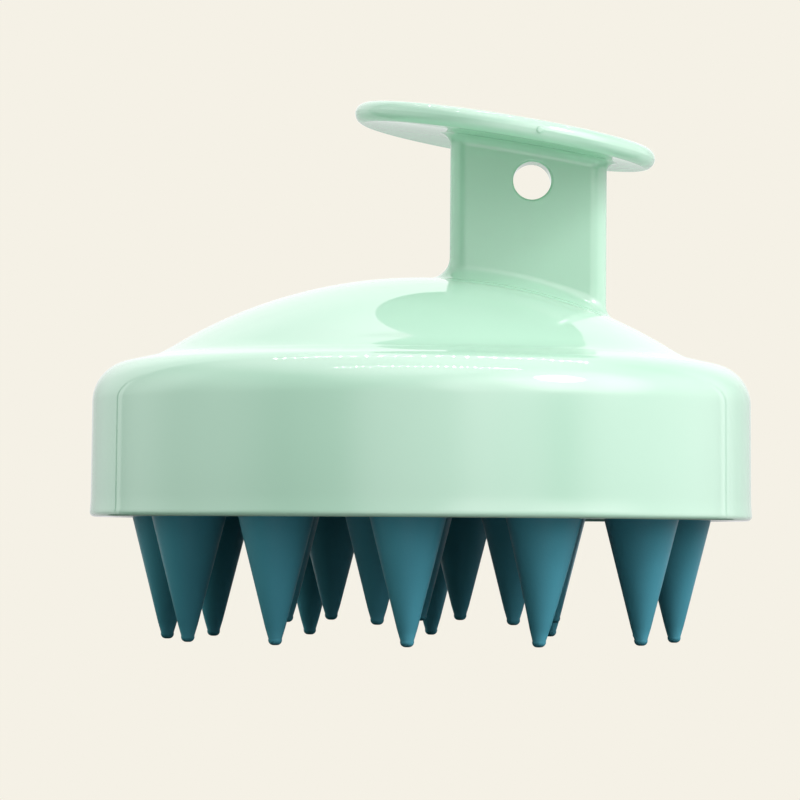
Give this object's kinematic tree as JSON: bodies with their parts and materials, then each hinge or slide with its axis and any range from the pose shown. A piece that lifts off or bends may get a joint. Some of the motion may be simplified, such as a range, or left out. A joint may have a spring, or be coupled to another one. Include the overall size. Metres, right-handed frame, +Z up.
{
  "type": "scalp massager brush",
  "caption": "Round hand-held scalp massager: glossy plastic shell with a tilted finger grip on a flat stem, and a soft pad of tapered bristles.",
  "frame": {"origin": "on the body's axis, in the plane of the outer bristles' tips, so the brush stands on z = 0", "axes": "+Z up along the body's axis, +X towards the side that the finger grip's stem stands on, +Y away from the side shown"},
  "size_m": [0.08, 0.08, 0.0651],
  "materials": {
    "shell": "glossy moulded plastic, pale mint green",
    "bristles": "satin moulded silicone, dark teal",
    "plate": "matte moulded plastic, dark teal"
  },
  "bodies": {
    "root": {"handle_shell": "shell", "bristle_pad": "bristles", "pad_plate": "plate"}
  },
  "joints": []
}
